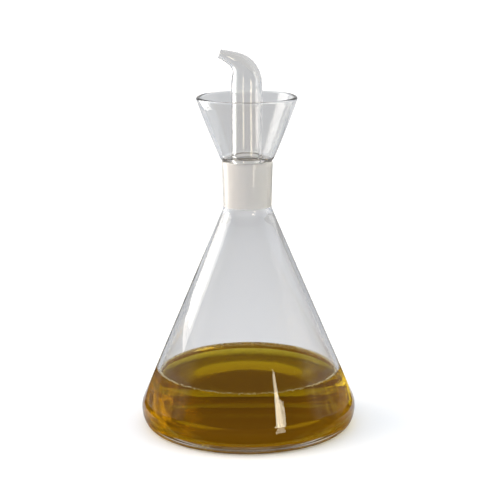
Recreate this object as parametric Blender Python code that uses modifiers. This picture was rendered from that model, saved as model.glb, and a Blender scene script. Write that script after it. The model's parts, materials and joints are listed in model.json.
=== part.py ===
"""Glass oil cruet, part filled with oil.

Three pieces: a blown glass flask with a conical body and a short neck, a glass
pourer that stands in the neck by its ground plug and carries a drip funnel and a
bent spout, and the oil in the bottom of the flask.

Metres, +Z up. The origin is the centre of the base on the ground, and the spout
points to -X.
"""

import math

import bmesh
import bpy

# Flask, outside
BASE_RADIUS = 0.0550
WIDEST_HEIGHT = 0.0098
HEEL_WIDTH = 0.0058
SHOULDER_RADIUS = 0.0110
CONE_SLOPE = 0.4235
FOOT_RING_RADIUS = 0.0400
BASE_RISE = 0.0012

# Flask, neck
NECK_FOOT_HEIGHT = 0.1135
NECK_TOP_HEIGHT = 0.1372
NECK_FOOT_RADIUS = 0.01220
NECK_TOP_RADIUS = 0.01285
NECK_FLARE_HEIGHT = 0.0085
NECK_RIM_ROUND = 0.0008

# Flask, inside
WALL = 0.0022
FLOOR_HEIGHT = 0.0042
INNER_HEEL_RADIUS = 0.0075

# Pourer, ground plug
PLUG_FOOT_HEIGHT = 0.1155
PLUG_FOOT_RADIUS = 0.0096
PLUG_TOP_RADIUS = 0.0104
GAP = 0.0003

# Pourer, funnel
FUNNEL_FOOT_RADIUS = 0.0130
FUNNEL_FLOOR_HEIGHT = 0.1396
RIM_HEIGHT = 0.1684
RIM_RADIUS = 0.02525
LIP_RADIUS = 0.0011
FUNNEL_WALL = 0.0018
FUNNEL_BULGE = 0.0004

# Pourer, spout. Its axis is a cubic curve in the XZ plane, through the first and
# the last of these points: across, height, outer radius
SPOUT_RADIUS = 0.00778
SPOUT_CURVE = (
    (0.0, 0.1755, SPOUT_RADIUS),
    (0.0, 0.1855, 0.00700),
    (-0.0046, 0.1878, 0.00330),
    (-0.0134, 0.1907, 0.00226),
)
SPOUT_WALL = 0.00155
TIP_WALL = 0.00095

# Oil
OIL_HEIGHT = 0.0286

STEPS = 64

CONE_TILT = math.degrees(math.atan(CONE_SLOPE))
CONE_INSET = WALL * math.hypot(1.0, CONE_SLOPE)


def clear_scene():
    for old in list(bpy.data.objects):
        bpy.data.objects.remove(old, do_unlink=True)


def new_collection(name):
    collection = bpy.data.collections.new(name)
    bpy.context.scene.collection.children.link(collection)
    return collection


def material(name, colour, roughness, ior, alpha=1.0):
    made = bpy.data.materials.new(name)
    made.use_nodes = True
    made.diffuse_color = (*colour, alpha)
    shader = made.node_tree.nodes["Principled BSDF"]
    shader.inputs["Base Color"].default_value = (*colour, 1.0)
    shader.inputs["Roughness"].default_value = roughness
    shader.inputs["Metallic"].default_value = 0.0
    shader.inputs["IOR"].default_value = ior
    shader.inputs["Transmission Weight"].default_value = 1.0
    return made


def arc(centre, radii, start, end, count):
    """Points on an ellipse arc, both ends included. Angles in degrees from +r towards +z."""
    points = []
    for i in range(count + 1):
        angle = math.radians(start + (end - start) * i / count)
        points.append(
            (centre[0] + radii[0] * math.cos(angle), centre[1] + radii[1] * math.sin(angle))
        )
    return points


def bezier(control, t):
    """Point on the cubic curve with these four control points."""
    weights = ((1 - t) ** 3, 3 * t * (1 - t) ** 2, 3 * t * t * (1 - t), t**3)
    return [sum(w * p[k] for w, p in zip(weights, control)) for k in range(len(control[0]))]


def turned(name, profile, collection, finish):
    """Solid turned about Z from a profile of radius and height that runs down its outer side."""
    mesh = bpy.data.meshes.new(name)
    points = [(max(r, 0.0), 0.0, z) for r, z in profile]
    mesh.from_pydata(points, [(i, i + 1) for i in range(len(points) - 1)], [])
    solid = bpy.data.objects.new(name, mesh)
    collection.objects.link(solid)
    screw = solid.modifiers.new("turn", "SCREW")
    screw.axis = "Z"
    screw.steps = screw.render_steps = STEPS
    screw.use_merge_vertices = True
    screw.merge_threshold = 0.00001
    screw.use_smooth_shade = True
    mesh.materials.append(finish)
    return solid


def tube(name, stations, collection):
    """Round bar along stations of x, z and radius, as a closed mesh."""
    curve = bpy.data.curves.new(name, "CURVE")
    curve.dimensions = "3D"
    curve.bevel_depth = SPOUT_RADIUS
    curve.bevel_resolution = 6
    curve.use_fill_caps = True
    line = curve.splines.new("POLY")
    line.points.add(len(stations) - 1)
    for point, (x, z, radius) in zip(line.points, stations):
        point.co = (x, 0.0, z, 1.0)
        point.radius = radius / SPOUT_RADIUS
    guide = bpy.data.objects.new(name + "_line", curve)
    collection.objects.link(guide)
    bpy.context.view_layer.update()
    graph = bpy.context.evaluated_depsgraph_get()
    mesh = bpy.data.meshes.new_from_object(guide.evaluated_get(graph))
    bpy.data.objects.remove(guide, do_unlink=True)
    weld(mesh)
    bar = bpy.data.objects.new(name, mesh)
    collection.objects.link(bar)
    return bar


def weld(mesh):
    shape = bmesh.new()
    shape.from_mesh(mesh)
    bmesh.ops.remove_doubles(shape, verts=shape.verts, dist=0.000001)
    bmesh.ops.recalc_face_normals(shape, faces=shape.faces)
    shape.to_mesh(mesh)
    shape.free()


def combine(solid, other, operation):
    boolean = solid.modifiers.new(other.name, "BOOLEAN")
    boolean.operation = operation
    boolean.solver = "EXACT"
    boolean.object = other
    other.hide_render = True
    other.display_type = "WIRE"


def cone_radius(height):
    """Outer radius of the flask's cone at a height."""
    centre = (BASE_RADIUS - SHOULDER_RADIUS, WIDEST_HEIGHT)
    touch = arc(centre, (SHOULDER_RADIUS, SHOULDER_RADIUS), 0, CONE_TILT, 1)[-1]
    return touch[0] - CONE_SLOPE * (height - touch[1])


def inner_heel(gap, start, end):
    """Arc that touches the floor and the inner face of the cone, with a gap to both."""
    radius = INNER_HEEL_RADIUS - gap
    height = FLOOR_HEIGHT + INNER_HEEL_RADIUS
    to_wall = CONE_INSET + INNER_HEEL_RADIUS * math.hypot(1.0, CONE_SLOPE)
    return arc((cone_radius(height) - to_wall, height), (radius, radius), start, end, 7)


def flask_profile():
    """Up the inside from the middle of the floor, over the rim and down the outside."""
    flare_foot = NECK_FOOT_HEIGHT - NECK_FLARE_HEIGHT
    inside = [(0.0, FLOOR_HEIGHT)] + inner_heel(0.0, -90, CONE_TILT)
    inside.append((cone_radius(flare_foot) - CONE_INSET, flare_foot))

    inner_top = PLUG_TOP_RADIUS + GAP
    rim_height = NECK_TOP_HEIGHT - NECK_RIM_ROUND
    rim_middle = (0.5 * (NECK_TOP_RADIUS + inner_top), rim_height)
    rim = arc(rim_middle, (NECK_TOP_RADIUS - rim_middle[0], NECK_RIM_ROUND), 180, 0, 6)
    neck = [(PLUG_FOOT_RADIUS + GAP, NECK_FOOT_HEIGHT)] + rim

    # The neck flares into the cone along a curve that leaves both of them straight
    corner = (NECK_FOOT_RADIUS, (cone_radius(0.0) - NECK_FOOT_RADIUS) / CONE_SLOPE)
    start = (NECK_FOOT_RADIUS, NECK_FOOT_HEIGHT + 0.0010)
    end = (cone_radius(flare_foot), flare_foot)
    flare = [bezier((start, corner, corner, end), i / 6) for i in range(7)]

    shoulder_middle = (BASE_RADIUS - SHOULDER_RADIUS, WIDEST_HEIGHT)
    shoulder = arc(shoulder_middle, (SHOULDER_RADIUS, SHOULDER_RADIUS), CONE_TILT, 0, 3)
    heel_middle = (BASE_RADIUS - HEEL_WIDTH, WIDEST_HEIGHT)
    heel = arc(heel_middle, (HEEL_WIDTH, WIDEST_HEIGHT), 0, -90, 7)
    underside = [(FOOT_RING_RADIUS, 0.0), (0.6 * FOOT_RING_RADIUS, BASE_RISE), (0.0, BASE_RISE)]
    return inside + neck + flare + shoulder + heel[1:] + underside


def oil_profile():
    """The oil fills the flask's inside up to its level, with a gap to the glass."""
    gap_across = GAP * math.hypot(1.0, CONE_SLOPE)
    edge = (cone_radius(OIL_HEIGHT) - CONE_INSET - gap_across, OIL_HEIGHT)
    foot = (0.0, FLOOR_HEIGHT + GAP)
    return [(0.0, OIL_HEIGHT), edge] + inner_heel(GAP, CONE_TILT, -90) + [foot]


def funnel_profile():
    """Funnel and plug as one solid, before the spout is joined on and the bore is cut."""
    foot = NECK_TOP_HEIGHT + GAP
    slope = (RIM_RADIUS - FUNNEL_FOOT_RADIUS) / (RIM_HEIGHT - foot)
    inset = FUNNEL_WALL * math.hypot(1.0, slope)

    def wall(start, end):
        """The outer face of the funnel between two shares of its height."""
        points = []
        for i in range(5):
            u = start + (end - start) * i / 4
            radius = FUNNEL_FOOT_RADIUS + (RIM_RADIUS - FUNNEL_FOOT_RADIUS) * u
            bulge = FUNNEL_BULGE * 4 * u * (1 - u)
            points.append((radius + bulge, foot + (RIM_HEIGHT - foot) * u))
        return points

    inside = [(r - inset, z) for r, z in wall(0.12, 0.94)]
    floor = [(0.0, FUNNEL_FLOOR_HEIGHT), (inside[0][0] - 0.0012, FUNNEL_FLOOR_HEIGHT)]
    lip = arc((RIM_RADIUS - LIP_RADIUS, RIM_HEIGHT), (LIP_RADIUS, LIP_RADIUS), 180, 0, 6)
    outside = wall(1.0, 0.025)[1:] + [(FUNNEL_FOOT_RADIUS - 0.0007, foot)]
    plug = [
        (PLUG_TOP_RADIUS, foot),
        (PLUG_FOOT_RADIUS, PLUG_FOOT_HEIGHT + 0.0006),
        (PLUG_FOOT_RADIUS - 0.0006, PLUG_FOOT_HEIGHT),
        (0.0, PLUG_FOOT_HEIGHT),
    ]
    return floor + inside + lip + outside + plug


def spout_stations(foot_height, wall_at, beyond):
    """Stations of x, z and radius up the spout, with the wall taken off its outer radius."""
    start = SPOUT_CURVE[0]
    stations = [(start[0], foot_height, start[2] - wall_at(0.0))]
    for i in range(13):
        t = i / 12
        x, z, radius = bezier(SPOUT_CURVE, t)
        stations.append((x, z, radius - wall_at(t)))
    if beyond:
        before, tip = SPOUT_CURVE[2], SPOUT_CURVE[3]
        length = math.hypot(tip[0] - before[0], tip[1] - before[1])
        x = tip[0] + beyond * (tip[0] - before[0]) / length
        z = tip[1] + beyond * (tip[1] - before[1]) / length
        stations.append((x, z, stations[-1][2]))
    return stations


def build():
    clear_scene()
    cruet = new_collection("oil_cruet")
    tools = new_collection("tools")
    glass = material("clear_glass", (1.0, 1.0, 1.0), 0.0, 1.47, 0.3)
    ground = material("pourer_glass", (0.97, 0.97, 0.95), 0.05, 1.47, 0.4)
    amber = material("olive_oil", (0.62, 0.46, 0.03), 0.0, 1.47)

    turned("flask", flask_profile(), cruet, glass)
    turned("oil", oil_profile(), cruet, amber)

    pourer = turned("pourer", funnel_profile(), cruet, ground)
    no_wall = spout_stations(FUNNEL_FLOOR_HEIGHT - 0.0010, lambda t: 0.0, 0.0)
    spout = tube("spout", no_wall, tools)
    combine(pourer, spout, "UNION")

    def wall(t):
        return SPOUT_WALL + (TIP_WALL - SPOUT_WALL) * t

    bore = tube("bore", spout_stations(PLUG_FOOT_HEIGHT - 0.0050, wall, 0.0030), tools)
    combine(pourer, bore, "DIFFERENCE")


build()
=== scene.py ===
"""Glass oil cruet on a pale floor: a blown flask, a drip pourer on a ground plug and olive oil.

The profiles use the same measures as the solids. Metres, +Z up, spout towards -X.
"""

import json
import math
import random

import bmesh
import bpy
from mathutils import Matrix, Vector

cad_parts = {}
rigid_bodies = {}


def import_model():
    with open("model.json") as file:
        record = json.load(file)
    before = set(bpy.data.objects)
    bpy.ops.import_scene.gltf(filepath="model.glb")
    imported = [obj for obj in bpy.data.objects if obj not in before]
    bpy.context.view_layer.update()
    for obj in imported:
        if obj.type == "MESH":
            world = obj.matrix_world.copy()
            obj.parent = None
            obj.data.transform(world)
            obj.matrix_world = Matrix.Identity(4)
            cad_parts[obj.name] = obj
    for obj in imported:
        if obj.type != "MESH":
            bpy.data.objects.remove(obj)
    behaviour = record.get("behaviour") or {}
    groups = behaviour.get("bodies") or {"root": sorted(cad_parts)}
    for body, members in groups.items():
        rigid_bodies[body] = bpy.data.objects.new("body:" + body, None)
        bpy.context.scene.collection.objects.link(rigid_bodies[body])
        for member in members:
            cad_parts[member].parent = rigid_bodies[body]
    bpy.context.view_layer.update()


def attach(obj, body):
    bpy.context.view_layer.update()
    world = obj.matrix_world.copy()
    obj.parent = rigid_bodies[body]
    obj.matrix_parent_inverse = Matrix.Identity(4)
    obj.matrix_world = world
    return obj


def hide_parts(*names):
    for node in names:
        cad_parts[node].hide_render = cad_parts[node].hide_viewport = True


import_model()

# Flask, outside
BASE_RADIUS = 0.0550
WIDEST_HEIGHT = 0.0098
HEEL_WIDTH = 0.0058
SHOULDER_RADIUS = 0.0110
CONE_SLOPE = 0.4235
FOOT_RING_RADIUS = 0.0400
BASE_RISE = 0.0012
HOLLOW_EASE = 0.55

# Flask, neck
NECK_FOOT_HEIGHT = 0.1135
NECK_TOP_HEIGHT = 0.1372
NECK_FOOT_RADIUS = 0.01220
NECK_TOP_RADIUS = 0.01285
NECK_FLARE_HEIGHT = 0.0085
NECK_RIM_ROUND = 0.0008
NECK_START_RISE = 0.0010

# Flask, inside
WALL = 0.0022
FLOOR_HEIGHT = 0.0042
INNER_HEEL_RADIUS = 0.0075
THROAT_BEND_DROP = 0.0030
THROAT_TOP_RISE = 0.0015

# Pourer
PLUG_FOOT_HEIGHT = 0.1155
PLUG_FOOT_RADIUS = 0.0096
PLUG_TOP_RADIUS = 0.0104
PLUG_FOOT_ROUND = 0.0006
PLUG_TOP_STEP = 0.0002
GAP = 0.0003
SEAT_INSET = 0.0007
FUNNEL_FOOT_RADIUS = 0.0130
FUNNEL_FLOOR_HEIGHT = 0.1396
RIM_HEIGHT = 0.1684
RIM_RADIUS = 0.02525
LIP_RADIUS = 0.0011
FUNNEL_WALL = 0.0018
FUNNEL_BULGE = 0.0004
COVE_WIDTH = 0.0012
COVE_TURN = (0.0004, 0.0002)
SPOUT_FILLET = 0.0012

# Spout: across, height and outer radius of the four control points of its axis
SPOUT_RADIUS = 0.00778
SPOUT_CURVE = (
    (0.0, 0.1755, SPOUT_RADIUS),
    (0.0, 0.1855, 0.00700),
    (-0.0046, 0.1878, 0.00330),
    (-0.0134, 0.1907, 0.00226),
)
SPOUT_WALL = 0.00155
TIP_WALL = 0.00095
TIP_ROUND = 0.00028
TIP_REACH = 0.003
BEND_STATIONS = 26

# Oil
OIL_HEIGHT = 0.0286
OIL_INTO_WALL = 0.00012
MENISCUS_RISE = 0.0009
MENISCUS_WIDTH = 0.0026

# Bubbles at the oil's level
BUBBLES = 420
BUBBLE_SIZES = (0.00018, 0.00048)
BUBBLE_LIFTS = (0.0003, 0.0008)
BUBBLE_GAPS = (0.0001, 0.0007)

TURNS = 128
NEAR = 1e-5
GLASS_BEND = 1.47
GROUND_ROUGHNESS = 0.36
SCRATCH_ROUGHNESS = 0.18
SCRATCH_DEPTH = 0.00001
WAVE_DEPTH = 0.00002
FROST = 0.82
CONE_TILT = math.degrees(math.atan(CONE_SLOPE))
CONE_INSET = WALL * math.hypot(1.0, CONE_SLOPE)


# Profiles


def arc(centre, radii, start, end, count):
    """Points on an ellipse arc, both ends included. Angles in degrees from +r towards +z."""
    points = []
    for i in range(count + 1):
        angle = math.radians(start + (end - start) * i / count)
        points.append(
            (centre[0] + radii[0] * math.cos(angle), centre[1] + radii[1] * math.sin(angle))
        )
    return points


def bezier(control, t):
    """Point on the cubic curve with these four control points."""
    weights = ((1 - t) ** 3, 3 * t * (1 - t) ** 2, 3 * t * t * (1 - t), t**3)
    return [sum(w * p[k] for w, p in zip(weights, control)) for k in range(len(control[0]))]


def line(start, end, count):
    """Points between two ends, without the first."""
    return [
        tuple(a + (b - a) * i / count for a, b in zip(start, end)) for i in range(1, count + 1)
    ]


def cone_radius(height):
    """Outer radius of the cone at a height."""
    centre = (BASE_RADIUS - SHOULDER_RADIUS, WIDEST_HEIGHT)
    touch = arc(centre, (SHOULDER_RADIUS, SHOULDER_RADIUS), 0, CONE_TILT, 1)[-1]
    return touch[0] - CONE_SLOPE * (height - touch[1])


def inner_heel(gap, start, end, count):
    """Arc between the floor and the inner wall, drawn in from the glass by the gap."""
    radius = INNER_HEEL_RADIUS - gap
    height = FLOOR_HEIGHT + INNER_HEEL_RADIUS
    to_wall = CONE_INSET + INNER_HEEL_RADIUS * math.hypot(1.0, CONE_SLOPE)
    return arc((cone_radius(height) - to_wall, height), (radius, radius), start, end, count)


def flask_profile():
    """Up the inside from the middle of the floor, over the rim and down the outside."""
    flare_foot = NECK_FOOT_HEIGHT - NECK_FLARE_HEIGHT
    inside = [(0.0, FLOOR_HEIGHT)] + inner_heel(0.0, -90, CONE_TILT, 20)
    inside += line(inside[-1], (cone_radius(flare_foot) - CONE_INSET, flare_foot), 8)

    inner_top = PLUG_TOP_RADIUS + GAP
    inner_foot = PLUG_FOOT_RADIUS + GAP
    bend = (inner_foot, NECK_FOOT_HEIGHT - THROAT_BEND_DROP)
    throat_top = (inner_foot, NECK_FOOT_HEIGHT + THROAT_TOP_RISE)
    curve = (inside[-1], bend, bend, throat_top)
    throat = [bezier(curve, i / 10) for i in range(1, 11)]
    rim_height = NECK_TOP_HEIGHT - NECK_RIM_ROUND
    rim_middle = (0.5 * (NECK_TOP_RADIUS + inner_top), rim_height)
    rim = arc(rim_middle, (NECK_TOP_RADIUS - rim_middle[0], NECK_RIM_ROUND), 180, 0, 14)
    neck = throat + line(throat[-1], rim[0], 6) + rim[1:]

    corner = (NECK_FOOT_RADIUS, (cone_radius(0.0) - NECK_FOOT_RADIUS) / CONE_SLOPE)
    start = (NECK_FOOT_RADIUS, NECK_FOOT_HEIGHT + NECK_START_RISE)
    end = (cone_radius(flare_foot), flare_foot)
    neck += line(neck[-1], start, 6)
    flare = [bezier((start, corner, corner, end), i / 14) for i in range(1, 15)]

    shoulder_middle = (BASE_RADIUS - SHOULDER_RADIUS, WIDEST_HEIGHT)
    shoulder = arc(shoulder_middle, (SHOULDER_RADIUS, SHOULDER_RADIUS), CONE_TILT, 0, 8)
    outside = line(flare[-1], shoulder[0], 8) + shoulder[1:]
    heel_middle = (BASE_RADIUS - HEEL_WIDTH, WIDEST_HEIGHT)
    heel = arc(heel_middle, (HEEL_WIDTH, WIDEST_HEIGHT), 0, -90, 18)
    rise = []
    for i in range(1, 9):
        share = 0.5 - 0.5 * math.cos(math.pi * i / 8)
        rise.append((FOOT_RING_RADIUS * (1.0 - HOLLOW_EASE * i / 8), BASE_RISE * share))
    underside = [(FOOT_RING_RADIUS, 0.0)] + rise + [(0.0, BASE_RISE)]
    return inside + neck + flare + outside + heel[1:] + underside


def oil_profile():
    """From the middle of the surface out, up the meniscus and down just inside the glass."""
    across = OIL_INTO_WALL * math.hypot(1.0, CONE_SLOPE)
    edge_height = OIL_HEIGHT + MENISCUS_RISE
    edge = cone_radius(edge_height) - CONE_INSET + across
    points = [(0.0, OIL_HEIGHT), (0.5 * edge, OIL_HEIGHT)]
    for i in range(11):
        share = i / 10
        points.append((edge - MENISCUS_WIDTH * (1 - share), OIL_HEIGHT + MENISCUS_RISE * share**3))
    heel = inner_heel(-OIL_INTO_WALL, CONE_TILT, -90, 20)
    return points + line(points[-1], heel[0], 6) + heel[1:] + [(0.0, FLOOR_HEIGHT - OIL_INTO_WALL)]


def pourer_profile():
    """Down the bore, over the plug's foot, up the outside, over the lip and down to the spout."""
    foot = NECK_TOP_HEIGHT + GAP
    slope = (RIM_RADIUS - FUNNEL_FOOT_RADIUS) / (RIM_HEIGHT - foot)
    inset = FUNNEL_WALL * math.hypot(1.0, slope)
    bore = SPOUT_RADIUS - SPOUT_WALL

    def wall(start, end, count):
        """Outside of the funnel between two shares of its height."""
        points = []
        for i in range(count + 1):
            u = start + (end - start) * i / count
            radius = FUNNEL_FOOT_RADIUS + (RIM_RADIUS - FUNNEL_FOOT_RADIUS) * u
            bulge = FUNNEL_BULGE * 4 * u * (1 - u)
            points.append((radius + bulge, foot + (RIM_HEIGHT - foot) * u))
        return points

    rounding = (PLUG_FOOT_ROUND, PLUG_FOOT_ROUND)
    rounding_height = PLUG_FOOT_HEIGHT + PLUG_FOOT_ROUND
    down = [(bore, SPOUT_CURVE[0][1])]
    down += line(down[0], (bore, rounding_height), 10)
    down += arc((bore + PLUG_FOOT_ROUND, rounding_height), rounding, 180, 270, 4)[1:]
    down += arc((PLUG_FOOT_RADIUS - PLUG_FOOT_ROUND, rounding_height), rounding, -90, 0, 4)
    plug_top = (PLUG_TOP_RADIUS, foot)
    plug = line(down[-1], (PLUG_TOP_RADIUS, foot - PLUG_TOP_STEP), 8) + [plug_top]
    seat = [(FUNNEL_FOOT_RADIUS - SEAT_INSET, foot)]
    outside = wall(0.025, 1.0, 14)
    lip = arc((RIM_RADIUS - LIP_RADIUS, RIM_HEIGHT), (LIP_RADIUS, LIP_RADIUS), 0, 180, 16)
    inside = [(r - inset, z) for r, z in wall(0.94, 0.12, 14)]
    floor_edge = (inside[-1][0] - COVE_WIDTH, FUNNEL_FLOOR_HEIGHT)
    turn = (inside[-1][0] - COVE_TURN[0], FUNNEL_FLOOR_HEIGHT + COVE_TURN[1])
    cove = [bezier((inside[-1], turn, turn, floor_edge), i / 5) for i in range(1, 6)]
    fillet_middle = (SPOUT_RADIUS + SPOUT_FILLET, FUNNEL_FLOOR_HEIGHT + SPOUT_FILLET)
    fillet = arc(fillet_middle, (SPOUT_FILLET, SPOUT_FILLET), 270, 180, 6)
    up = line(fillet[-1], (SPOUT_RADIUS, SPOUT_CURVE[0][1]), 8)
    return down + plug + seat + outside + lip[1:] + inside + cove + fillet + up


# Modelling


def deselect():
    bpy.ops.object.select_all(action="DESELECT")


def turned(name, profile):
    """Draws a profile point by point in the XZ plane, spins it about Z and closes it."""
    deselect()
    bpy.ops.mesh.primitive_plane_add(size=0.001)
    piece = bpy.context.object
    piece.name = piece.data.name = name
    bpy.ops.object.mode_set(mode="EDIT")
    bpy.ops.mesh.select_all(action="SELECT")
    bpy.ops.mesh.merge(type="CENTER")
    bpy.ops.transform.translate(value=(profile[0][0], 0.0, profile[0][1]))
    for (r0, z0), (r1, z1) in zip(profile, profile[1:]):
        step = {"value": (r1 - r0, 0.0, z1 - z0)}
        bpy.ops.mesh.extrude_vertices_move(TRANSFORM_OT_translate=step)
    bpy.ops.mesh.select_all(action="SELECT")
    bpy.ops.mesh.spin(steps=TURNS, angle=2 * math.pi, center=(0, 0, 0), axis=(0, 0, 1))
    bpy.ops.mesh.select_all(action="SELECT")
    bpy.ops.mesh.remove_doubles(threshold=0.000002)
    bpy.ops.mesh.normals_make_consistent(inside=False)
    bpy.ops.object.mode_set(mode="OBJECT")
    return piece


def smooth(piece, angle):
    deselect()
    piece.select_set(True)
    bpy.context.view_layer.objects.active = piece
    bpy.ops.object.shade_smooth_by_angle(angle=math.radians(angle))


def pick(piece, wanted):
    """Selects in edit mode only the vertices whose place passes the test, with their edges."""
    bpy.ops.mesh.select_all(action="DESELECT")
    shape = bmesh.from_edit_mesh(piece.data)
    shape.select_mode = {"VERT"}
    for vertex in shape.verts:
        vertex.select_set(bool(wanted(vertex.co)))
    shape.select_flush(True)
    bmesh.update_edit_mesh(piece.data)


def bend_out(piece, ring_radius, wall_at):
    """Draws an open ring of the spout along its bent axis, turning and narrowing it."""
    start_height = SPOUT_CURVE[0][1]
    pick(
        piece,
        lambda co: abs(co.z - start_height) < NEAR
        and abs(math.hypot(co.x, co.y) - ring_radius) < 10 * NEAR,
    )
    x, z, radius, lean = 0.0, start_height, ring_radius, 0.0
    for i in range(1, BEND_STATIONS + 1):
        t = i / BEND_STATIONS
        new_x, new_z, outer = bezier(SPOUT_CURVE, t)
        ahead = bezier(SPOUT_CURVE, min(t + 0.01, 1.0))
        behind = bezier(SPOUT_CURVE, max(t - 0.01, 0.0))
        new_lean = math.atan2(ahead[0] - behind[0], ahead[1] - behind[1])
        new_radius = outer - wall_at(t)
        shift = (new_x - x, 0.0, new_z - z)
        centre = (new_x, 0.0, new_z)
        bpy.ops.mesh.extrude_region_move(TRANSFORM_OT_translate={"value": shift})
        bpy.ops.transform.rotate(
            value=-(new_lean - lean), orient_axis="Y", center_override=centre
        )
        scale = new_radius / radius
        bpy.ops.transform.resize(value=(scale, scale, scale), center_override=centre)
        x, z, radius, lean = new_x, new_z, new_radius, new_lean


def blow_flask():
    flask = turned("flask_blown", flask_profile())
    smooth(flask, 50)
    return flask


def blow_pourer():
    pourer = turned("pourer_blown", pourer_profile())
    bpy.ops.object.mode_set(mode="EDIT")
    bpy.ops.mesh.select_mode(type="VERT")
    bend_out(pourer, SPOUT_RADIUS, lambda t: 0.0)
    bore = SPOUT_RADIUS - SPOUT_WALL
    bend_out(pourer, bore, lambda t: SPOUT_WALL + (TIP_WALL - SPOUT_WALL) * t)

    tip = Vector((SPOUT_CURVE[3][0], 0.0, SPOUT_CURVE[3][1]))
    before = Vector((SPOUT_CURVE[2][0], 0.0, SPOUT_CURVE[2][1]))
    along = (tip - before).normalized()

    def on_cut_end(co):
        return abs((co - tip).dot(along)) < NEAR and (co - tip).length < TIP_REACH

    pick(pourer, on_cut_end)
    bpy.ops.mesh.select_mode(type="EDGE")
    bpy.ops.mesh.bridge_edge_loops()
    bpy.ops.mesh.select_mode(type="VERT")
    pick(pourer, on_cut_end)
    bpy.ops.mesh.select_mode(type="EDGE")
    keep_rims(pourer, tip)
    bpy.ops.mesh.bevel(offset=TIP_ROUND, segments=3, affect="EDGES")
    bpy.ops.mesh.select_mode(type="VERT")
    bpy.ops.mesh.select_all(action="SELECT")
    bpy.ops.mesh.normals_make_consistent(inside=False)
    bpy.ops.object.mode_set(mode="OBJECT")
    smooth(pourer, 50)
    return pourer


def keep_rims(piece, tip):
    """Leaves only the two round edges of the spout's cut end selected, not the spokes between."""
    shape = bmesh.from_edit_mesh(piece.data)
    for edge in shape.edges:
        if edge.select:
            ends = [(vertex.co - tip).length for vertex in edge.verts]
            if abs(ends[0] - ends[1]) > 10 * NEAR:
                edge.select_set(False)
    bmesh.update_edit_mesh(piece.data)


def pour_oil():
    oil = turned("olive_oil_fill", oil_profile())
    smooth(oil, 60)
    return oil


def froth():
    """Small air bubbles that stick to the glass along the oil's level."""
    random.seed(11)
    deselect()
    bpy.ops.mesh.primitive_ico_sphere_add(subdivisions=1, radius=1.0)
    first = bpy.context.object
    for i in range(BUBBLES):
        deselect()
        first.select_set(True)
        bpy.context.view_layer.objects.active = first
        bpy.ops.object.duplicate()
        bubble = bpy.context.object
        size = random.uniform(*BUBBLE_SIZES)
        turn = 2 * math.pi * (i + random.random()) / BUBBLES
        height = OIL_HEIGHT + random.uniform(*BUBBLE_LIFTS)
        reach = cone_radius(height) - CONE_INSET - size - random.uniform(*BUBBLE_GAPS)
        bubble.location = (reach * math.cos(turn), reach * math.sin(turn), height)
        bubble.rotation_euler = (0.0, 0.0, turn)
        bubble.scale = (size, size, size)
    deselect()
    row = [piece for piece in bpy.data.objects if piece.name.startswith(first.name + ".")]
    bpy.data.objects.remove(first)
    for bubble in row:
        bubble.select_set(True)
    bpy.context.view_layer.objects.active = row[0]
    bpy.ops.object.join()
    bpy.ops.object.transform_apply(location=True, rotation=True, scale=True)
    made = bpy.context.object
    made.name = made.data.name = "oil_bubbles"
    smooth(made, 180)
    return made


# Finishes


class Tone:
    """A value in a finish that can be added, multiplied and so on."""

    def __init__(self, finish, socket):
        self.finish = finish
        self.socket = socket

    def maths(self, operation, first, second=0.0):
        return self.finish.add("ShaderNodeMath", {"operation": operation}, {0: first, 1: second})

    def __add__(self, other):
        return self.maths("ADD", self, other)

    def __radd__(self, other):
        return self.maths("ADD", other, self)

    def __rsub__(self, other):
        return self.maths("SUBTRACT", other, self)

    def __mul__(self, other):
        return self.maths("MULTIPLY", self, other)

    def __rmul__(self, other):
        return self.maths("MULTIPLY", other, self)

    def __truediv__(self, other):
        return self.maths("DIVIDE", self, other)

    def __rtruediv__(self, other):
        return self.maths("DIVIDE", other, self)

    def __pow__(self, other):
        return self.maths("POWER", self, other)


class Finish:
    """A material and the one way to add a node to it."""

    def __init__(self, owner):
        self.tree = owner.node_tree
        self.tree.nodes.clear()

    def add(self, kind, settings, sockets, out=0):
        node = self.tree.nodes.new(kind)
        for key, value in settings.items():
            setattr(node, key, value)
        for key, value in sockets.items():
            if isinstance(value, Tone):
                self.tree.links.new(value.socket, node.inputs[key])
            else:
                node.inputs[key].default_value = value
        return Tone(self, node.outputs[out]) if node.outputs else None

    def other_output(self, tone, out):
        return Tone(self, tone.socket.node.outputs[out])

    def blend(self, share, first, second):
        """Colour that goes from the first to the second as the share goes from 0 to 1."""
        sockets = {0: share, 6: first, 7: second}
        return self.add("ShaderNodeMix", {"data_type": "RGBA"}, sockets, out=2)

    def larger(self, first, second):
        return self.add("ShaderNodeMath", {"operation": "MAXIMUM"}, {0: first, 1: second})

    def rising(self, value, low, high):
        """0 below low, 1 above high, smooth between."""
        return self.add(
            "ShaderNodeMapRange",
            {"interpolation_type": "SMOOTHSTEP"},
            {"Value": value, "From Min": low, "From Max": high, "To Min": 0.0, "To Max": 1.0},
        )


def new_finish(name):
    made = bpy.data.materials.new(name)
    made.use_nodes = True
    return made, Finish(made)


def place_of(finish):
    """Object place, its height and its distance from the axis."""
    place = finish.add("ShaderNodeTexCoord", {}, {}, out="Object")
    height = finish.add("ShaderNodeSeparateXYZ", {}, {0: place}, out="Z")
    flat = finish.add("ShaderNodeVectorMath", {"operation": "MULTIPLY"}, {0: place, 1: (1, 1, 0)})
    radius = finish.add("ShaderNodeVectorMath", {"operation": "LENGTH"}, {0: flat}, out="Value")
    return place, height, radius


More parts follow.
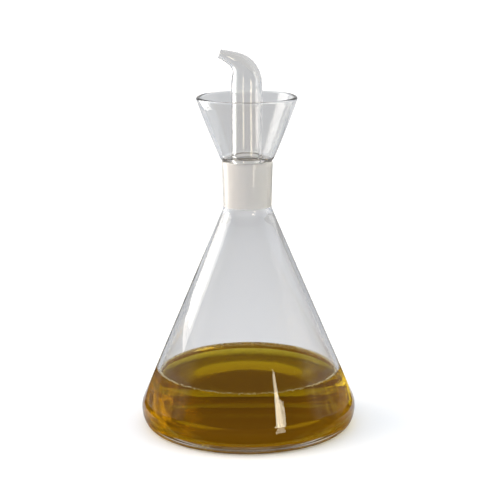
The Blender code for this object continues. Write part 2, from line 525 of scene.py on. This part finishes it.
def glass_with_ground_band(name, tint, ground):
    """Clear blown glass with a ground band that scatters light, where the ground mask is 1."""
    made, finish = new_finish(name)
    place, height, radius = place_of(finish)
    band = ground(finish, height, radius)
    stretched = finish.add("ShaderNodeMapping", {}, {"Vector": place, "Scale": (260, 260, 2600)})
    scratches = finish.add(
        "ShaderNodeTexNoise", {}, {"Vector": stretched, "Scale": 1.0, "Detail": 3.0}
    )
    rough = band * (GROUND_ROUGHNESS + SCRATCH_ROUGHNESS * scratches)
    waves = finish.add("ShaderNodeTexNoise", {}, {"Vector": place, "Scale": 38.0, "Detail": 1.0})
    relief = waves * (1 - band) * WAVE_DEPTH + scratches * band * SCRATCH_DEPTH
    bump = finish.add(
        "ShaderNodeBump", {}, {"Height": relief, "Strength": 1.0, "Distance": 1.0}, out="Normal"
    )
    glass = finish.add(
        "ShaderNodeBsdfPrincipled",
        {},
        {
            "Base Color": tint,
            "Roughness": rough,
            "IOR": GLASS_BEND,
            "Transmission Weight": 1.0,
            "Normal": bump,
        },
    )
    frost = finish.add("ShaderNodeBsdfDiffuse", {}, {"Color": (0.97, 0.965, 0.96, 1.0)})
    shader = finish.add("ShaderNodeMixShader", {}, {0: band * FROST, 1: glass, 2: frost})
    finish.add("ShaderNodeOutputMaterial", {}, {"Surface": shader})
    return made


def flask_glass():
    """The inside of the neck is ground, from the plug's foot to just under the rim."""

    def ground(finish, height, radius):
        up = finish.rising(height, PLUG_FOOT_HEIGHT - 0.0018, PLUG_FOOT_HEIGHT - 0.0014)
        top = finish.rising(height, NECK_TOP_HEIGHT - 0.0012, NECK_TOP_HEIGHT - 0.0008)
        within = finish.rising(radius, PLUG_TOP_RADIUS + 0.0006, PLUG_TOP_RADIUS + 0.0008)
        return up * (1 - top) * (1 - within)

    return glass_with_ground_band("flask_glass", (0.985, 0.985, 0.985, 1.0), ground)


def pourer_glass():
    """The outside of the plug is ground, up to the neck's rim."""

    def ground(finish, height, radius):
        top = finish.rising(height, NECK_TOP_HEIGHT - 0.0006, NECK_TOP_HEIGHT)
        outer = finish.rising(radius, PLUG_FOOT_RADIUS - 0.0012, PLUG_FOOT_RADIUS - 0.0008)
        return outer * (1 - top)

    return glass_with_ground_band("pourer_glass", (0.985, 0.985, 0.98, 1.0), ground)


def olive_oil():
    """Clear oil that is gold where it is thin and brown where it is thick, with a faint painted
    glow.
    """
    made, finish = new_finish("olive_oil")
    shader = finish.add(
        "ShaderNodeBsdfPrincipled",
        {},
        {
            "Base Color": (1.0, 1.0, 1.0, 1.0),
            "Roughness": 0.0,
            "IOR": GLASS_BEND,
            "Transmission Weight": 1.0,
            # Emission: a faint painted glow that stands in for light scattered inside the oil.
            "Emission Color": (1.0, 0.46, 0.0, 1.0),
            "Emission Strength": 0.045,
        },
    )
    depth = finish.add(
        "ShaderNodeVolumeAbsorption", {}, {"Color": (0.868, 0.813, 0.0, 1.0), "Density": 110.0}
    )
    finish.add("ShaderNodeOutputMaterial", {}, {"Surface": shader, "Volume": depth})
    return made


def bubble_skin():
    """Thin film of oil round air: pale, glossy and patchy."""
    made, finish = new_finish("bubble_skin")
    place = finish.add("ShaderNodeTexCoord", {}, {}, out="Object")
    patches = finish.add("ShaderNodeTexNoise", {}, {"Vector": place, "Scale": 900.0})
    colour = finish.blend(patches, (0.62, 0.56, 0.26, 1.0), (0.93, 0.90, 0.68, 1.0))
    skin = {"Base Color": colour, "Roughness": 0.12, "IOR": 1.33}
    shader = finish.add("ShaderNodeBsdfPrincipled", {}, skin)
    finish.add("ShaderNodeOutputMaterial", {}, {"Surface": shader})
    return made


# Studio

FLOOR_RADIUS = 9.0
# Distance at which the floor seen in the glass is halfway from bright to dim: a painted falloff of
# light.
FLOOR_SHADE_FADE = 0.36
GREY_ROOM = (0.50, 0.50, 0.50, 1.0)
DARK_ROOM = (0.035, 0.035, 0.035, 1.0)
BROWN_ROOM = (0.045, 0.035, 0.025, 1.0)
GOLD_PATCH = (1.50, 1.00, 0.04, 1.0)
SOFT_LIGHT = (0.80, 0.885, 1.03, 1.0)
LEFT_LIGHT = (6.2, 5.4, 4.4, 1.0)
RIGHT_LIGHT = (4.2, 3.8, 2.9, 1.0)
LAMP_WHITE = (1.0, 0.97, 0.92)
WINDOW_CREAM = (1.0, 0.90, 0.68)
BOARD_BROWN = (0.05, 0.035, 0.025)
BOARD_GREY = (0.65, 0.65, 0.65)
CAMERA_LENS = 115.34
CAMERA_PLACE = (0.0012, -0.7928, 0.2723)
CAMERA_DOWN = 12.87
CAMERA_ROLL = -0.3


def floor():
    """A pale table top. In the glass it has painted shade: it dims with distance, carries a painted
    brown shade with a painted oil reflection in front and round the foot, and a painted oil-tinted
    shade underneath.
    """
    deselect()
    bpy.ops.mesh.primitive_circle_add(vertices=96, radius=FLOOR_RADIUS, fill_type="NGON")
    made = bpy.context.object
    made.name = "pale_floor"
    paint, finish = new_finish("pale_floor")
    place = finish.add("ShaderNodeTexCoord", {}, {}, out="Object")
    away = finish.add("ShaderNodeVectorMath", {"operation": "LENGTH"}, {0: place}, out="Value")
    # Tones of the floor seen in the glass are painted shade: bright near the flask, dim far off, as
    # a painted falloff of light.
    bright = (0.590, 0.610, 0.640, 1.0)
    dim = (0.410, 0.422, 0.442, 1.0)
    # Painted shade tinted by the oil, on the floor under the foot.
    below = (0.36, 0.30, 0.20, 1.0)
    # Painted brown shade with a painted reflection of the oil, laid round the foot and far in
    # front.
    brown = (0.14, 0.07, 0.025, 1.0)
    table = finish.blend(1 / (1 + (away / FLOOR_SHADE_FADE) ** 2), dim, bright)
    back = finish.add("ShaderNodeSeparateXYZ", {}, {0: place}, out="Y")
    seen = finish.add("ShaderNodeLightPath", {}, {}, out="Is Camera Ray")
    mirrored = finish.rising(finish.other_output(seen, "Glossy Depth"), 0.2, 0.8)
    # Painted contact shade round the foot and painted shade far out in mirrored rays, left off
    # behind the flask.
    contact_shade_mask = 1 - finish.rising(away, 0.070, 0.120)
    mirrored_shade_mask = (1 - finish.rising(away, 1.5, 3.0)) * mirrored
    shade = finish.larger(contact_shade_mask, mirrored_shade_mask) * (1 - finish.rising(back, -0.03, 0.02))
    table = finish.blend(shade, table, brown)
    # Under the foot the painted oil-tinted shade is used.
    table = finish.blend(finish.rising(away, 0.040, 0.052), below, table)
    colour = finish.blend(seen, table, (0.93, 0.93, 0.93, 1.0))
    shader = finish.add("ShaderNodeBsdfDiffuse", {}, {"Color": colour})
    finish.add("ShaderNodeOutputMaterial", {}, {"Surface": shader})
    made.data.materials.append(paint)


def studio_air():
    """Even light on matt things. Glass shows a grey room that is dark in front, and the oil a
    brown one with gold patches at its sides."""
    world = bpy.data.worlds.new("studio")
    bpy.context.scene.world = world
    world.use_nodes = True
    finish = Finish(world)
    bounces = finish.add("ShaderNodeLightPath", {}, {}, out="Diffuse Depth")
    seen = finish.other_output(bounces, "Is Camera Ray")
    lit = finish.larger(bounces, seen)
    towards = finish.add("ShaderNodeTexCoord", {}, {}, out="Generated")
    back = finish.add("ShaderNodeSeparateXYZ", {}, {0: towards}, out="Y")
    right = finish.other_output(back, "X")
    up = finish.other_output(back, "Z")
    room = finish.blend(finish.rising(0 - back, 0.00, 0.30), GREY_ROOM, DARK_ROOM)
    through = finish.other_output(bounces, "Transmission Depth")
    mirrored = finish.other_output(bounces, "Glossy Depth")
    mirrored = finish.add("ShaderNodeMath", {"operation": "MINIMUM"}, {0: mirrored, 1: 1.0})
    surfaces = through + 2 * mirrored
    low = 1 - finish.rising(up, 0.46, 0.72)
    wide = finish.rising(back, -0.3, 0.1) * finish.rising(surfaces, 4.3, 4.7)
    narrow = finish.rising(back, 0.86, 0.92) * finish.rising(up, 0.10, 0.16)
    behind = finish.larger(wide, narrow)
    clouds = finish.add("ShaderNodeTexNoise", {}, {"Vector": towards, "Scale": 6.0, "Detail": 2.0})
    ends = finish.rising(right, 0.25, 0.60) + 0.40 * finish.rising(0 - right, 0.25, 0.60)
    patches = finish.rising(clouds, 0.47, 0.59) * ends
    brown = finish.blend(patches * wide, BROWN_ROOM, GOLD_PATCH)
    room = finish.blend(low * behind, room, brown)
    soft = finish.blend(finish.rising(0 - right, 0.5, 1.0), SOFT_LIGHT, LEFT_LIGHT)
    soft = finish.blend(finish.rising(right, 0.5, 1.0), soft, RIGHT_LIGHT)
    colour = finish.blend(finish.rising(lit, 0.2, 0.8), room, soft)
    light = finish.add("ShaderNodeBackground", {}, {"Color": colour, "Strength": 1.0})
    finish.add("ShaderNodeOutputWorld", {}, {"Surface": light})
    world.cycles.sampling_method = "NONE"


def seen_in_glass_only(piece):
    """Hides a lamp or a board from the camera and from matt things."""
    piece.visible_camera = False
    piece.visible_diffuse = False
    piece.visible_shadow = False


def glowing_panel(name, corners, colour, strength):
    """A flat lamp with these corners, which shows only in reflections."""
    deselect()
    bpy.ops.mesh.primitive_circle_add(vertices=len(corners), radius=0.1, fill_type="NGON")
    panel = bpy.context.object
    panel.name = panel.data.name = name
    for vertex, corner in zip(panel.data.vertices, corners):
        vertex.co = corner
    paint, finish = new_finish(name)
    glow = finish.add("ShaderNodeEmission", {}, {"Color": (*colour, 1.0), "Strength": strength})
    clear = finish.add("ShaderNodeBsdfTransparent", {}, {})
    mirrored = finish.add("ShaderNodeLightPath", {}, {}, out="Glossy Depth")
    seen = finish.rising(mirrored, 0.3, 0.7)
    shader = finish.add("ShaderNodeMixShader", {}, {0: seen, 1: clear, 2: glow})
    finish.add("ShaderNodeOutputMaterial", {}, {"Surface": shader})
    panel.data.materials.append(paint)
    seen_in_glass_only(panel)


def lamps():
    """A tall soft lamp close at the left and a window at the front right."""
    left = -0.18
    side = [(0.026, 0.072), (0.125, 0.069), (0.148, 0.094), (0.175, 0.115), (0.175, 0.40)]
    side += [(0.02, 0.40), (0.012, 0.23), (0.0, 0.19), (-0.005, 0.165), (0.020, 0.110)]
    glowing_panel("left_softbox", [(left, y, z) for y, z in side], LAMP_WHITE, 4.5)

    turn = math.radians(38.5)
    distance = 0.5
    away = (distance * math.sin(turn), -distance * math.cos(turn))
    across = (math.cos(turn), math.sin(turn))
    pane = [(-0.115, 0.003), (0.0, 0.003), (0.005, 0.10), (0.026, 0.21), (0.030, 0.228)]
    pane += [(-0.010, 0.240), (-0.024, 0.250), (-0.024, 0.264), (-0.050, 0.275), (-0.075, 0.215)]
    corners = [(away[0] + u * across[0], away[1] + u * across[1], z) for u, z in pane]
    glowing_panel("front_window", corners, WINDOW_CREAM, 8.0)


def board(name, radius, start, end, low, high, colour, outside_only):
    """A curved board round the table, seen only in the glass. Angles run from +Y to +X.

    An outside_only board shows in the outer faces of the glass and not through it.
    """
    deselect()
    bpy.ops.mesh.primitive_plane_add(size=0.001)
    made = bpy.context.object
    made.name = made.data.name = name
    bpy.ops.object.mode_set(mode="EDIT")
    bpy.ops.mesh.merge(type="CENTER")
    turn = math.radians(start)
    bpy.ops.transform.translate(value=(radius * math.sin(turn), radius * math.cos(turn), low))
    bpy.ops.mesh.extrude_vertices_move(TRANSFORM_OT_translate={"value": (0, 0, high - low)})
    bpy.ops.mesh.select_all(action="SELECT")
    sweep = math.radians(end - start)
    bpy.ops.mesh.spin(steps=24, angle=sweep, center=(0, 0, 0), axis=(0, 0, 1))
    bpy.ops.object.mode_set(mode="OBJECT")
    paint, finish = new_finish(name)
    glow = finish.add("ShaderNodeEmission", {}, {"Color": (*colour, 1.0), "Strength": 1.0})
    clear = finish.add("ShaderNodeBsdfTransparent", {}, {})
    through = finish.add("ShaderNodeLightPath", {}, {}, out="Transmission Depth")
    hidden = finish.rising(through, 0.3, 0.7) if outside_only else 0.0
    shader = finish.add("ShaderNodeMixShader", {}, {0: hidden, 1: glow, 2: clear})
    finish.add("ShaderNodeOutputMaterial", {}, {"Surface": shader})
    made.data.materials.append(paint)
    seen_in_glass_only(made)


def boards():
    board("left_board", 0.12, -125, -8, 0.0, 0.075, BOARD_BROWN, True)
    board("right_board", 0.12, 8, 150, 0.0, 0.120, BOARD_BROWN, True)
    board("back_board", 0.32, -42, 80, 0.150, 0.50, BOARD_GREY, False)


def camera():
    """At the photo's viewing angle, a little higher than the spout and looking down."""
    data = bpy.data.cameras.new("camera")
    data.sensor_width = 36.0
    data.lens = CAMERA_LENS
    made = bpy.data.objects.new("camera", data)
    bpy.context.scene.collection.objects.link(made)
    pitch = Matrix.Rotation(math.radians(90.0 - CAMERA_DOWN), 4, "X")
    roll = Matrix.Rotation(math.radians(CAMERA_ROLL), 4, "Z")
    made.matrix_world = Matrix.Translation(CAMERA_PLACE) @ pitch @ roll
    bpy.context.scene.camera = made


def settings():
    scene = bpy.context.scene
    scene.view_settings.view_transform = "Standard"
    scene.cycles.max_bounces = 32
    scene.cycles.transmission_bounces = 28
    scene.cycles.transparent_max_bounces = 16
    scene.cycles.glossy_bounces = 12
    scene.cycles.sample_clamp_indirect = 6.0
    scene.cycles.use_denoising = True


flask = blow_flask()
flask.data.materials.append(flask_glass())
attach(flask, "root")
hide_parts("flask")

pourer = blow_pourer()
pourer.data.materials.append(pourer_glass())
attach(pourer, "root")
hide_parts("pourer")

oil = pour_oil()
oil.data.materials.append(olive_oil())
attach(oil, "root")
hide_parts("oil")

bubbles = froth()
bubbles.data.materials.append(bubble_skin())
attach(bubbles, "root")

floor()
studio_air()
lamps()
boards()
camera()
settings()
